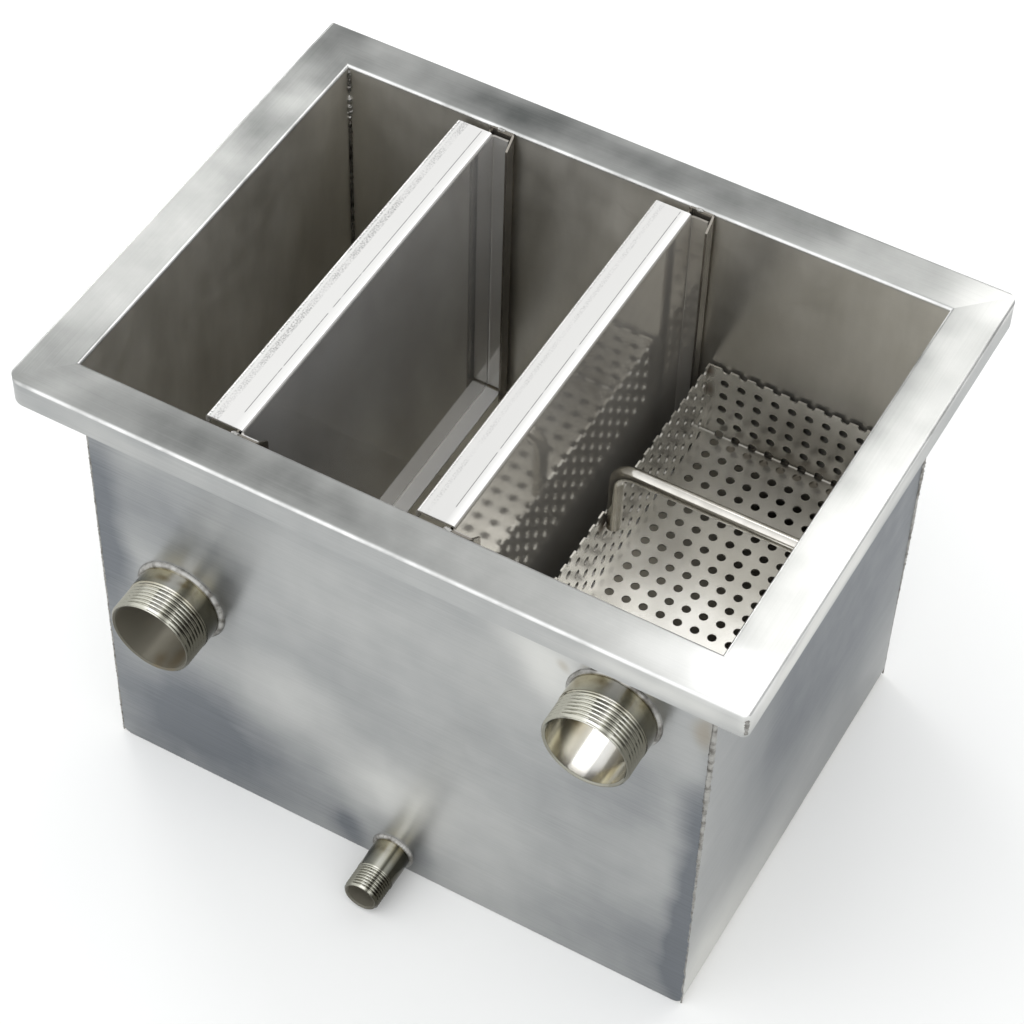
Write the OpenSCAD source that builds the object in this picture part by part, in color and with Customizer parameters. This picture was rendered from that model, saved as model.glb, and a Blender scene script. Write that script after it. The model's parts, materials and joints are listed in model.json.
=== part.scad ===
// Stainless steel grease trap: an open tank folded and welded from sheet, with two
// baffles that lift out of guide channels and a perforated basket under the inlet.
// Lengths are in millimetres. The origin is the middle of the tank's underside,
// +X runs along the long side to the inlet end, and the pipes stand on the -Y side.

/* [Tank] */
// Outside length of the tank
tank_l = 350; // [320:5:500]
// Outside width of the tank
tank_w = 250; // [200:5:400]
// Height from the underside to the top of the rim
tank_h = 300; // [280:5:450]
// Thickness of the tank sheet
sheet_t = 1.2; // [0.8:0.1:2]
// Outside radius of the folds between the floor and the side walls
floor_fold_r = 6; // [3:0.5:12]

/* [Rim] */
// Width of the flange turned out round the opening
rim_w = 25; // [15:1:40]
// Height of the edge turned down outside the flange
rim_drop = 16; // [8:1:30]
// Inside radius of the two folds of the rim
rim_fold_r = 0.6; // [0.4:0.2:2]
// Rounding of the rim's front left corner, seen from above
corner_front_left = 9; // [3.5:0.5:12]
// Rounding of the rim's front right corner, seen from above
corner_front_right = 3.5; // [3.5:0.5:12]
// Rounding of the rim's back left corner, seen from above
corner_back_left = 4; // [3.5:0.5:12]
// Rounding of the rim's back right corner, seen from above
corner_back_right = 8; // [3.5:0.5:12]

/* [Inlet and outlet] */
// Outside diameter of the plain stretch of both pipes
pipe_od = 48.3; // [42.4:0.1:60.3]
// Diameter over the thread of both pipes
pipe_thread_od = 47.8; // [41.9:0.1:59.6]
// Wall of both pipes
pipe_wall = 2.6; // [2:0.1:4]
// Distance that both pipes stand out from the front panel
pipe_reach = 29.5; // [24:0.5:60]
// Length of the thread on both pipes
pipe_thread_l = 17.5; // [10:0.5:22]
// Chamfer at the mouth of all three pipes
pipe_chamfer = 1; // [0.4:0.1:1.6]
// Share of the mouth's face that the bevel inside it takes up
mouth_share = 0.6; // [0.1:0.1:0.9]
// Radial gap between a pipe and its hole in the panel
pipe_gap = 0.1; // [0:0.05:0.5]
// Leg of the weld bead round the inlet and the outlet
pipe_weld = 3; // [2:0.5:6]
// Distance of the inlet's axis from the outside of the right wall
inlet_inset = 52; // [40:1:70]
// Depth of the inlet's axis under the top of the rim
inlet_drop = 75; // [60:1:80]
// Distance of the outlet's axis from the outside of the left wall
outlet_inset = 49; // [40:1:70]
// Depth of the outlet's axis under the top of the rim
outlet_drop = 152; // [60:1:200]

/* [Drain] */
// Outside diameter of the plain stretch of the drain pipe
drain_od = 21.3; // [17.2:0.1:26.9]
// Diameter over the thread of the drain pipe
drain_thread_od = 20.9; // [16.6:0.1:26.4]
// Wall of the drain pipe
drain_wall = 2.6; // [2:0.1:3.5]
// Distance that the drain pipe stands out from the front panel
drain_reach = 34.5; // [24:0.5:60]
// Length of the thread on the drain pipe
drain_thread_l = 15; // [10:0.5:20]
// Height of the lowest point of the drain pipe over the tank's underside
drain_lift = 1.2; // [0.8:0.1:10]
// Leg of the weld bead round the drain pipe
drain_weld = 2.5; // [2:0.5:5]

/* [Baffles] */
// Thickness of the baffle sheet
baffle_t = 1.2; // [0.8:0.1:2]
// Inside radius of the folds of a baffle
baffle_fold_r = 0.8; // [0.4:0.1:1.5]
// Clear length of the bay between the left wall and the outlet baffle
outlet_bay = 89; // [75:1:110]
// Clear length of the bay between the inlet baffle and the right wall
basket_bay = 141; // [139:1:160]
// Depth of the top of a baffle under the top of the rim
baffle_drop = 2; // [1:0.5:10]
// Height of the free way under a baffle
flow_gap = 103; // [60:1:130]
// Width of the top flange of a baffle
baffle_flange = 21.5; // [14:0.5:30]
// Height of the lip along the edge of the top flange
baffle_lip = 6; // [4:0.5:10]
// Length by which the top flange stops short of each end of the panel
flange_short = 1.5; // [1:0.5:6]
// Width of the flanges at the ends and the bottom of a baffle
baffle_return = 10; // [7:0.5:14]
// Extra length of the relief where two flanges of a baffle meet
corner_relief = 0.5; // [0.2:0.1:3]

/* [Guides] */
// Thickness of the guide channels
guide_t = 1.2; // [0.8:0.1:2]
// Inside radius of the folds of a guide channel
guide_fold_r = 0.6; // [0.4:0.1:1]
// Depth of a guide channel, from the wall to its free edges
guide_depth = 8.5; // [7:0.5:14]
// Play of a baffle in its guides, past its own fold
guide_play = 0.2; // [0.1:0.05:1]
// Gap between the end of a baffle and the web of its guide
baffle_end_gap = 1.6; // [0.5:0.1:3]
// Depth of the top of a guide under the top of the rim
guide_drop = 1; // [0.5:0.5:4]
// Height of the slanted cut on the free leg of a guide
guide_slant = 6; // [2:0.5:12]
// Length of a guide below the baffle
guide_tail = 3; // [0:0.5:20]

/* [Basket] */
// Outside width of the basket along the tank
basket_w = 121; // [81:1:122]
// Height of the basket
basket_h = 52; // [40:1:75]
// Depth of the basket's top edge under the top of the rim
basket_drop = 106; // [103:1:130]
// Thickness of the perforated sheet
basket_t = 1; // [0.6:0.1:1.5]
// Inside radius of the two folds of the basket
basket_fold_r = 1.5; // [0.8:0.1:3]
// Gap between the basket and the front and back walls
basket_end_gap = 1.8; // [1:0.1:10]
// Gap between the basket and the right wall
basket_side_gap = 3.2; // [1:0.1:8]
// Diameter of the perforation
hole_d = 5; // [3:0.5:6]
// Spacing of the perforation
hole_pitch = 10; // [8:0.5:14]

/* [Basket handle] */
// Diameter of the handle's rod
handle_d = 8; // [4:0.5:10]
// Height of the rod's axis over the basket's top edge
handle_rise = 33; // [20:1:60]
// Length of the rod's legs inside the basket
handle_lap = 12; // [8:1:30]
// Radius of the rod's bends, on its axis
handle_bend_r = 10; // [6:0.5:15]
// Distance of the handle from the middle of the basket, towards the back
handle_shift = 6; // [-20:1:20]
// Gap between the rod and the basket's sides, closed by the weld
handle_gap = 0.1; // [0:0.05:0.5]

/* [Ledges] */
// Thickness of the ledges under the basket
ledge_t = 1.2; // [0.8:0.1:2]
// Inside radius of the fold of a ledge
ledge_fold_r = 0.8; // [0.4:0.1:1.5]
// Width of both legs of a ledge
ledge_w = 15; // [8:1:20]
// Length of a ledge
ledge_l = 90; // [40:5:110]

/* [Hidden] */
$fn = 48;

// Past the faces of what it cuts
over = 1;

// Half sizes of the tank: outside, inside, and over the rim
out_x = tank_l / 2;
out_y = tank_w / 2;
in_x = out_x - sheet_t;
in_y = out_y - sheet_t;
rim_x = out_x + rim_w;
rim_y = out_y + rim_w;
// Height where the folds of the rim begin
rim_fold_z = tank_h - sheet_t - rim_fold_r;
// Corners of the rim: side along X, side along Y, rounding
rim_rounding = [
    [-1, -1, corner_front_left],
    [1, -1, corner_front_right],
    [-1, 1, corner_back_left],
    [1, 1, corner_back_right]
];

// Axes of the pipes
inlet_at = [out_x - inlet_inset, tank_h - inlet_drop];
outlet_at = [outlet_inset - out_x, tank_h - outlet_drop];
drain_at = [0, drain_lift + drain_od / 2];

// Left faces of the two baffle panels
outlet_baffle_x = outlet_bay - in_x;
inlet_baffle_x = in_x - basket_bay - baffle_t;
// Half length, top and folds of a baffle
baffle_y = in_y - guide_t - baffle_end_gap;
baffle_top = tank_h - baffle_drop;
baffle_fold = baffle_t + baffle_fold_r;

// Gap between a baffle's faces and the legs of its guide: the legs stay clear of the fold
guide_gap = baffle_fold_r + guide_play;
guide_top = tank_h - guide_drop;
guide_low = flow_gap - guide_tail;
guide_fold = guide_t + guide_fold_r;

// Middle of the basket, its half sizes and its levels
basket_x = in_x - basket_side_gap - basket_w / 2;
tray_x = basket_w / 2 - basket_t;
basket_y = in_y - basket_end_gap;
basket_top = tank_h - basket_drop;
basket_low = basket_top - basket_h;
basket_fold = basket_t + basket_fold_r;

// Places of the holes: across the floor, along the basket, and down the walls from the top edge
hole_r = hole_d / 2;
hole_margin = hole_r + basket_t;
hole_columns = floor((tray_x - hole_margin) / hole_pitch);
hole_x = [for (i = [-hole_columns : hole_columns]) i * hole_pitch];
hole_rows = floor((basket_y - basket_fold - hole_r) / hole_pitch - 0.5);
hole_y = [for (i = [-hole_rows - 1 : hole_rows]) (i + 0.5) * hole_pitch];
fold_row_z = basket_low + basket_fold + hole_r;
hole_levels = [for (z = [basket_top : -hole_pitch : basket_low + basket_t]) z];
wall_levels = [for (z = hole_levels) if (z >= fold_row_z) z];
fold_levels = [for (z = hole_levels) if (z < fold_row_z) z];
side_levels = [for (z = [basket_low + basket_t : hole_pitch : basket_top]) z];

steel = [0.74, 0.74, 0.72];
dull_steel = [0.6, 0.6, 0.58];
warm_steel = [0.66, 0.63, 0.55];
bright_steel = [0.85, 0.85, 0.84];

// Section of a fold: a quarter ring in the first quadrant
module fold(inside_r, thickness) {
    intersection() {
        difference() {
            circle(inside_r + thickness);
            circle(inside_r);
        }
        square(inside_r + thickness);
    }
}

// Section of a wall and its rim: the first axis runs out from the wall's outside face, the second is up
module rim_section() {
    flange_end = rim_w - sheet_t - rim_fold_r;
    translate([rim_fold_r, rim_fold_z])
        mirror([1, 0])
            fold(rim_fold_r, sheet_t);
    translate([rim_fold_r, tank_h - sheet_t])
        square([flange_end - rim_fold_r, sheet_t]);
    translate([flange_end, rim_fold_z])
        fold(rim_fold_r, sheet_t);
    translate([rim_w - sheet_t, tank_h - rim_drop])
        square([sheet_t, rim_drop - sheet_t - rim_fold_r]);
}

// Places its children, drawn in the first quadrant, round the middle of a corner's rounding
module at_corner(corner) {
    translate([corner[0] * (rim_x - corner[2]), corner[1] * (rim_y - corner[2])])
        mirror([1 - corner[0], 0])
            mirror([0, 1 - corner[1]])
                children();
}

// Ground plan of the rim with its rounded corners
module rim_plan() {
    difference() {
        square([2 * rim_x, 2 * rim_y], center = true);
        for (corner = rim_rounding)
            at_corner(corner)
                difference() {
                    square(corner[2] + over);
                    circle(corner[2]);
                }
    }
}

// Turned-down edge where it runs round the four corners
module rim_corners() {
    translate([0, 0, tank_h - rim_drop])
        linear_extrude(rim_drop - sheet_t - rim_fold_r)
            for (corner = rim_rounding)
                at_corner(corner)
                    fold(corner[2] - sheet_t, sheet_t);
}

// Wedge of the back panel: it meets the side walls on mitres at the corners
module panel_wedge() {
    reach = rim_w + sheet_t + over;
    translate([0, 0, -over])
        linear_extrude(tank_h + 2 * over)
            polygon([
                [-in_x, in_y],
                [in_x, in_y],
                [in_x + reach, in_y + reach],
                [-in_x - reach, in_y + reach]
            ]);
}

// Section across the wrap sheet: side walls, floor and both rims
module wrap_section() {
    for (side = [0, 1])
        mirror([side, 0]) {
            translate([out_x, 0])
                rim_section();
            translate([in_x, floor_fold_r])
                square([sheet_t, rim_fold_z - floor_fold_r]);
            translate([out_x - floor_fold_r, floor_fold_r])
                mirror([0, 1])
                    fold(floor_fold_r - sheet_t, sheet_t);
        }
    translate([floor_fold_r - out_x, 0])
        square([tank_l - 2 * floor_fold_r, sheet_t]);
}

module tank_wrap() {
    color(steel)
        difference() {
            intersection() {
                union() {
                    rotate([90, 0, 0])
                        linear_extrude(2 * rim_y, center = true)
                            wrap_section();
                    rim_corners();
                }
                linear_extrude(tank_h)
                    rim_plan();
            }
            panel_wedge();
            mirror([0, 1, 0])
                panel_wedge();
        }
}

// Outline of a panel up to the rim, with the wrap sheet's fold at its lower corners
module panel_outline() {
    translate([-out_x, floor_fold_r])
        square([tank_l, rim_fold_z - floor_fold_r]);
    translate([floor_fold_r - out_x, 0])
        square([tank_l - 2 * floor_fold_r, floor_fold_r]);
    for (x = [-1, 1])
        translate([x * (out_x - floor_fold_r), floor_fold_r])
            circle(floor_fold_r);
}

// Panel with its rim, at the back (side 1) or the front (side -1); children are cut from its outline
module panel(side) {
    intersection() {
        union() {
            mirror([0, 1 - side, 0])
                translate([0, out_y, 0]) {
                    rotate([90, 0, 0])
                        linear_extrude(sheet_t)
                            difference() {
                                panel_outline();
                                children();
                            }
                    rotate([90, 0, 90])
                        linear_extrude(2 * rim_x, center = true)
                            rim_section();
                }
            rim_corners();
        }
        linear_extrude(tank_h)
            rim_plan();
        mirror([0, 1 - side, 0])
            panel_wedge();
    }
}

module front_panel() {
    color(steel)
        panel(-1) {
            for (at = [inlet_at, outlet_at])
                translate(at)
                    circle(pipe_od / 2 + pipe_gap);
            translate(drain_at)
                circle(drain_od / 2 + pipe_gap);
        }
}

module back_panel() {
    color(steel)
        panel(1);
}

// Places its children on the front panel, with their axis pointing out
module on_front(at) {
    translate([at[0], -out_y, at[1]])
        rotate([90, 0, 0])
            children();
}

// Pipe nipple: flush inside the panel, then plain, then the stretch that carries the thread
module nipple(od, thread_od, wall, reach, thread_l) {
    bore_r = od / 2 - wall;
    edge_r = thread_od / 2 - pipe_chamfer;
    bevel = mouth_share * (edge_r - bore_r);
    rotate_extrude()
        polygon([
            [bore_r, -sheet_t],
            [od / 2, -sheet_t],
            [od / 2, reach - thread_l],
            [thread_od / 2, reach - thread_l],
            [thread_od / 2, reach - pipe_chamfer],
            [edge_r, reach],
            [bore_r + bevel, reach],
            [bore_r, reach - bevel]
        ]);
}

// Weld bead in the corner between a pipe and the panel
module bead(od, leg) {
    rotate_extrude()
        translate([od / 2, 0])
            intersection() {
                circle(leg);
                square(leg);
            }
}

module inlet_pipe() {
    color(warm_steel)
        on_front(inlet_at)
            nipple(pipe_od, pipe_thread_od, pipe_wall, pipe_reach, pipe_thread_l);
}

module outlet_pipe() {
    color(warm_steel)
        on_front(outlet_at)
            nipple(pipe_od, pipe_thread_od, pipe_wall, pipe_reach, pipe_thread_l);
}

module drain_pipe() {
    color(warm_steel)
        on_front(drain_at)
            nipple(drain_od, drain_thread_od, drain_wall, drain_reach, drain_thread_l);
}

module inlet_weld() {
    color(dull_steel)
        on_front(inlet_at)
            bead(pipe_od, pipe_weld);
}

module outlet_weld() {
    color(dull_steel)
        on_front(outlet_at)
            bead(pipe_od, pipe_weld);
}

// The bead round the drain is ground off level with the tank's underside
module drain_weld_bead() {
    bead_r = drain_od / 2 + drain_weld;
    color(dull_steel)
        intersection() {
            on_front(drain_at)
                bead(drain_od, drain_weld);
            translate([-bead_r - over, -out_y - drain_weld - over, 0])
                cube([2 * (bead_r + over), drain_weld + 2 * over, drain_at[1] + bead_r + over]);
        }
}

// Ground plan of a guide channel on the back wall, open towards the front
module guide_plan(left, right) {
    leg = guide_depth - guide_fold;
    for (side = [0, 1])
        translate([side * (left + right), 0])
            mirror([side, 0]) {
                translate([left, in_y - guide_depth])
                    square([guide_t, leg]);
                translate([left + guide_fold, in_y - guide_fold])
                    mirror([1, 0])
                        fold(guide_fold_r, guide_t);
            }
    translate([left + guide_fold, in_y - guide_t])
        square([right - left - 2 * guide_fold, guide_t]);
}

// Guide channel on the back wall for the baffle whose panel's left face is at x
module guide(x) {
    left = x - guide_gap - guide_t;
    right = x + baffle_return + guide_gap + guide_t;
    middle = (left + right) / 2;
    seat = baffle_top - baffle_t;
    color(dull_steel)
        difference() {
            translate([0, 0, guide_low])
                linear_extrude(guide_top - guide_low)
                    guide_plan(left, right);
            // The left leg carries the baffle's top flange
            translate([left - over, in_y - guide_depth - over, seat])
                cube([middle - left + over, guide_depth - guide_t + over, tank_h - seat]);
            // The right leg is cut on a slant
            translate([middle, 0, 0])
                rotate([90, 0, 90])
                    linear_extrude(right - middle + over)
                        polygon([
                            [in_y - guide_t, guide_top],
                            [in_y - guide_depth, guide_top - guide_slant],
                            [in_y - guide_depth - over, guide_top - guide_slant],
                            [in_y - guide_depth - over, guide_top + over],
                            [in_y - guide_t, guide_top + over]
                        ]);
        }
}

module outlet_guide_front() {
    mirror([0, 1, 0])
        guide(outlet_baffle_x);
}

module outlet_guide_back() {
    guide(outlet_baffle_x);
}

module inlet_guide_front() {
    mirror([0, 1, 0])
        guide(inlet_baffle_x);
}

module inlet_guide_back() {
    guide(inlet_baffle_x);
}

// Section of the top of a baffle: fold, flange and lip, with the panel's left face at zero
module baffle_top_section() {
    fold_z = baffle_top - baffle_fold;
    lip_x = baffle_t - baffle_flange;
    translate([-baffle_fold_r, fold_z])
        fold(baffle_fold_r, baffle_t);
    translate([lip_x + baffle_fold, baffle_top - baffle_t])
        square([baffle_flange - baffle_t - baffle_fold - baffle_fold_r, baffle_t]);
    translate([lip_x + baffle_fold, fold_z])
        mirror([1, 0])
            fold(baffle_fold_r, baffle_t);
    translate([lip_x, baffle_top - baffle_lip])
        square([baffle_t, baffle_lip - baffle_fold]);
}

// Section of the bottom of a baffle: fold and flange
module baffle_low_section() {
    translate([baffle_fold, flow_gap + baffle_fold])
        mirror([1, 0])
            mirror([0, 1])
                fold(baffle_fold_r, baffle_t);
    translate([baffle_fold, flow_gap])
        square([baffle_return - baffle_fold, baffle_t]);
}

// Ground plan of one end of a baffle: fold and flange at the back
module baffle_end_plan() {
    translate([baffle_fold, baffle_y - baffle_fold])
        mirror([1, 0])
            fold(baffle_fold_r, baffle_t);
    translate([baffle_fold, baffle_y - baffle_t])
        square([baffle_return - baffle_fold, baffle_t]);
}

// Baffle folded from one sheet, with the left face of its panel at x
module baffle(x) {
    relief = baffle_fold + corner_relief;
    panel_y = baffle_y - baffle_fold;
    panel_low = flow_gap + baffle_fold;
    panel_top = baffle_top - baffle_fold;
    end_low = flow_gap + relief;
    color(bright_steel)
        translate([x, 0, 0]) {
            translate([0, -panel_y, panel_low])
                cube([baffle_t, 2 * panel_y, panel_top - panel_low]);
            rotate([90, 0, 0])
                linear_extrude(2 * (baffle_y - flange_short), center = true)
                    baffle_top_section();
            rotate([90, 0, 0])
                linear_extrude(2 * (baffle_y - relief), center = true)
                    baffle_low_section();
            for (end = [0, 1])
                mirror([0, end, 0])
                    translate([0, 0, end_low])
                        linear_extrude(panel_top - end_low)
                            baffle_end_plan();
        }
}

module outlet_baffle() {
    baffle(outlet_baffle_x);
}

module inlet_baffle() {
    baffle(inlet_baffle_x);
}

// Perforated floor of the basket between its two folds
module basket_floor() {
    flat_y = basket_y - basket_fold;
    linear_extrude(basket_t)
        difference() {
            square([2 * tray_x, 2 * flat_y], center = true);
            for (x = hole_x, y = hole_y)
                translate([x, y])
                    circle(hole_r);
        }
}

// Perforated back wall of the basket above its fold, sheared through its top row of holes
module basket_wall() {
    translate([0, basket_y, 0])
        rotate([90, 0, 0])
            linear_extrude(basket_t)
                difference() {
                    translate([-tray_x, basket_low + basket_fold])
                        square([2 * tray_x, basket_h - basket_fold]);
                    for (x = hole_x, z = wall_levels)
                        translate([x, z])
                            circle(hole_r);
                }
}

// Fold between the basket's floor and its back wall
module basket_bend() {
    translate([0, basket_y - basket_fold, basket_low + basket_fold])
        rotate([90, 0, 90])
            linear_extrude(2 * tray_x, center = true)
                mirror([0, 1])
                    fold(basket_fold_r, basket_t);
}

// Holes of the row that the fold runs through
module bend_holes() {
    for (x = hole_x, z = fold_levels)
        translate([x, basket_y + over, z])
            rotate([90, 0, 0])
                cylinder(r = hole_r, h = basket_fold + over);
}

module basket_tray() {
    color(steel)
        translate([basket_x, 0, 0])
            difference() {
                union() {
                    translate([0, 0, basket_low])
                        basket_floor();
                    for (end = [0, 1])
                        mirror([0, end, 0]) {
                            basket_wall();
                            basket_bend();
                        }
                }
                for (end = [0, 1])
                    mirror([0, end, 0])
                        bend_holes();
            }
}

// Outline of a side of the basket: its lower corners follow the tray's folds
module side_outline() {
    translate([-basket_y, basket_low + basket_fold])
        square([2 * basket_y, basket_h - basket_fold]);
    translate([basket_fold - basket_y, basket_low])
        square([2 * (basket_y - basket_fold), basket_fold]);
    for (y = [-1, 1])
        translate([y * (basket_y - basket_fold), basket_low + basket_fold])
            circle(basket_fold);
}

// Left side of the basket, on the end of the tray
module basket_side() {
    color(steel)
        translate([-basket_w / 2, 0, 0])
            rotate([90, 0, 90])
                linear_extrude(basket_t)
                    difference() {
                        side_outline();
                        for (y = hole_y, z = side_levels)
                            translate([y, z])
                                circle(hole_r);
                    }
}

module basket_side_left() {
    translate([basket_x, 0, 0])
        basket_side();
}

module basket_side_right() {
    translate([basket_x, 0, 0])
        mirror([1, 0, 0])
            basket_side();
}

module basket_handle() {
    leg_x = tray_x - handle_gap - handle_d / 2;
    foot_z = basket_top - handle_lap;
    bar_z = basket_top + handle_rise;
    bend_z = bar_z - handle_bend_r;
    bar_x = leg_x - handle_bend_r;
    color(bright_steel)
        translate([basket_x, handle_shift, 0]) {
            for (side = [0, 1])
                mirror([side, 0, 0]) {
                    translate([leg_x, 0, foot_z])
                        cylinder(d = handle_d, h = bend_z - foot_z);
                    translate([bar_x, 0, bend_z])
                        rotate([90, 0, 0])
                            rotate_extrude(angle = 90)
                                translate([handle_bend_r, 0])
                                    circle(d = handle_d);
                }
            translate([-bar_x, 0, bar_z])
                rotate([0, 90, 0])
                    cylinder(d = handle_d, h = 2 * bar_x);
        }
}

// Section of the ledge on the back wall: the basket's floor lies on its upper leg
module ledge_section() {
    bend = ledge_t + ledge_fold_r;
    translate([in_y - ledge_w, basket_low - ledge_t])
        square([ledge_w - bend, ledge_t]);
    translate([in_y - bend, basket_low - bend])
        fold(ledge_fold_r, ledge_t);
    translate([in_y - ledge_t, basket_low - ledge_w])
        square([ledge_t, ledge_w - bend]);
}

module ledge() {
    color(dull_steel)
        translate([basket_x, 0, 0])
            rotate([90, 0, 90])
                linear_extrude(ledge_l, center = true)
                    ledge_section();
}

module ledge_front() {
    mirror([0, 1, 0])
        ledge();
}

module ledge_back() {
    ledge();
}

tank_wrap();
front_panel();
back_panel();
inlet_pipe();
outlet_pipe();
drain_pipe();
inlet_weld();
outlet_weld();
drain_weld_bead();
outlet_guide_front();
outlet_guide_back();
inlet_guide_front();
inlet_guide_back();
outlet_baffle();
inlet_baffle();
basket_tray();
basket_side_left();
basket_side_right();
basket_handle();
ledge_front();
ledge_back();
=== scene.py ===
import json
import math

import bpy
from mathutils import Matrix, Vector, noise


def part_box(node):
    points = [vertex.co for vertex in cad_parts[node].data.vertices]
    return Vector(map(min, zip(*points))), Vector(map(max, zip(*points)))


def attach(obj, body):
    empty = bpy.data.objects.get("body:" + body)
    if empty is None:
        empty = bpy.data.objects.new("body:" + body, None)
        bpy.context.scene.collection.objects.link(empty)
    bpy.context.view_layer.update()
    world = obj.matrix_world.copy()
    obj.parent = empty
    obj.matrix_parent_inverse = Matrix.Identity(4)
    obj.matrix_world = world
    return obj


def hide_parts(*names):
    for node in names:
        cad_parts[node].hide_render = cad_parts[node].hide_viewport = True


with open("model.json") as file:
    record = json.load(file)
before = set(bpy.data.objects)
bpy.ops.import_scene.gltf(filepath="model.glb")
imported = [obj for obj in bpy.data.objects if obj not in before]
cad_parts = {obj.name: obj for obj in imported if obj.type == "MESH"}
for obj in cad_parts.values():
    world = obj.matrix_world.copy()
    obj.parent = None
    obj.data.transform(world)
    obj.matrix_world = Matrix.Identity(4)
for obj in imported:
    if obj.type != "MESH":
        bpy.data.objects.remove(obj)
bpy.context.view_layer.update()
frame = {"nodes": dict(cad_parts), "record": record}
nodes = frame["nodes"]
mounts = {m["name"]: m for m in frame["record"]["mounts"]}
mm = 0.001
tank = {"halfX": 175 * mm, "halfY": 125 * mm, "sheet": 1.2 * mm, "top": 300 * mm, "rim": 25 * mm}  # as in the part
print("frame loaded:", len(nodes), "nodes")


def colour(code):  # sRGB hex to linear
    parts = [int(code[i:i + 2], 16) / 255 for i in (1, 3, 5)]
    return [c / 12.92 if c <= 0.04045 else ((c + 0.055) / 1.055) ** 2.4 for c in parts] + [1]


# A node given as an input is linked by its first output in use
def addNode(tree, kind, inputs=None, **settings):
    node = tree.nodes.new("ShaderNode" + kind)
    for key, value in settings.items():
        setattr(node, key, value)
    for key, value in (inputs or {}).items():
        if isinstance(value, bpy.types.Node):
            value = next(output for output in value.outputs if output.enabled)
        if isinstance(value, bpy.types.NodeSocket):
            tree.links.new(value, node.inputs[key])
        else:
            node.inputs[key].default_value = value
    return node


def mapEnds(read, give=(0, 1)):  # the ends of what a Map Range node reads and of what it gives
    return dict(zip(("From Min", "From Max", "To Min", "To Max"), (*read, *give)))


def newMaterial(name):
    material = bpy.data.materials.new(name)
    material.use_nodes = True
    material.node_tree.nodes.clear()
    return material, material.node_tree


def dress(piece, material):
    piece.data.materials.clear()
    piece.data.materials.append(material)


# Soft spots on the steel: a place, a reach each way (mm) and how much they change
def addSpots(tree, place, value, spots):
    for at, reach, amount in spots:
        away = addNode(tree, "VectorMath", {0: place, 1: [c * mm for c in at]}, operation="SUBTRACT")
        scaled = addNode(tree, "VectorMath", {0: away, 1: [c * mm for c in reach]}, operation="DIVIDE")
        far = addNode(tree, "VectorMath", {0: scaled}, operation="LENGTH")
        fall = addNode(tree, "MapRange", {"Value": far} | mapEnds((0, 1), (amount, 0)),
                       interpolation_type="SMOOTHERSTEP")
        value = addNode(tree, "Math", {0: value, 1: fall}, operation="ADD")
    return value


def addStains(tree, place, base, spots, code):  # the base, coloured at its spots
    if not spots:
        return base
    amount = addSpots(tree, place, 0, spots)
    return addNode(tree, "Mix", {0: amount, 6: base, 7: colour(code)}, data_type="RGBA")


# Place in metres, and the same place shaken by a soft noise so that spots get uneven edges
def shakenPlace(tree, waveMm, shakeMm):
    place = addNode(tree, "TexCoord").outputs["Object"]
    wave = addNode(tree, "TexNoise", {"Vector": place, "Scale": 1 / (waveMm * mm), "Detail": 2})
    centred = addNode(tree, "VectorMath", {0: wave.outputs["Color"], 1: [0.5] * 3}, operation="SUBTRACT")
    shaken = addNode(tree, "VectorMath", {0: centred, 1: [2 * shakeMm * mm] * 3, 2: place},
                     operation="MULTIPLY_ADD")
    return place, shaken


def between(tree, value, low, high, soft):  # 1 from low to high, in metres, with soft ends
    rise = addNode(tree, "MapRange", {"Value": value} | mapEnds((low - soft, low + soft)))
    drop = addNode(tree, "MapRange", {"Value": value} | mapEnds((high - soft, high + soft), (1, 0)))
    return addNode(tree, "Math", {0: rise, 1: drop}, operation="MULTIPLY")


# Cold-rolled stainless sheet of the tank: satin outside with cloudy patches, handled and smudged,
# brighter and warmer inside where it only mirrors itself
tankLook = {
    "dark": "#666A6F", "darkLine": "#7B7F84", "light": "#D9D9D5", "rim": "#666866",
    "innerDark": "#BDBAB1", "innerLight": "#E4E1D9", "shade": "#3A3734",
    "tint": "#8C7A55", "highlight": "#F6F6F4", "fold": "#DADAD8",
    "shakeWaveMm": 60, "shakeMm": 14, "cloudMm": 100, "smudgeMm": 16, "streakMm": 26, "mitreMm": 45,
    "lineMm": 0.8, "lineLengthMm": 70,  # fine lines from rolling and brushing, drawn wide enough to show
    "waveMm": 90, "waveHeightMm": 0.12,  # the sheet isn't quite flat
    "cloudFrom": (0.25, 0.75), "cloudTo": (0.38, 0.62), "streakUpright": (1, 1, 0.3), "streak": 1.6,
    "smudge": (0.16, 0.29), "lines": (0.10, 0.13),  # change of tone on the walls, then on the handled rim
    "rimMm": (-1.3, 10), "rimSoftMm": 0.2, "innerTopMm": (-2.5, -0.8),  # heights from the tank's top
    "innerSheet": (0.8, 0.3),  # where the inside begins, in thicknesses of sheet from the outer face
    "rubbedFrom": (0.3, 0.6), "leastRubbed": 0.25,
    "rough": 0.28, "foldRough": -0.06, "smudgeRough": 0.12, "anisotropic": 0.85}
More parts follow.
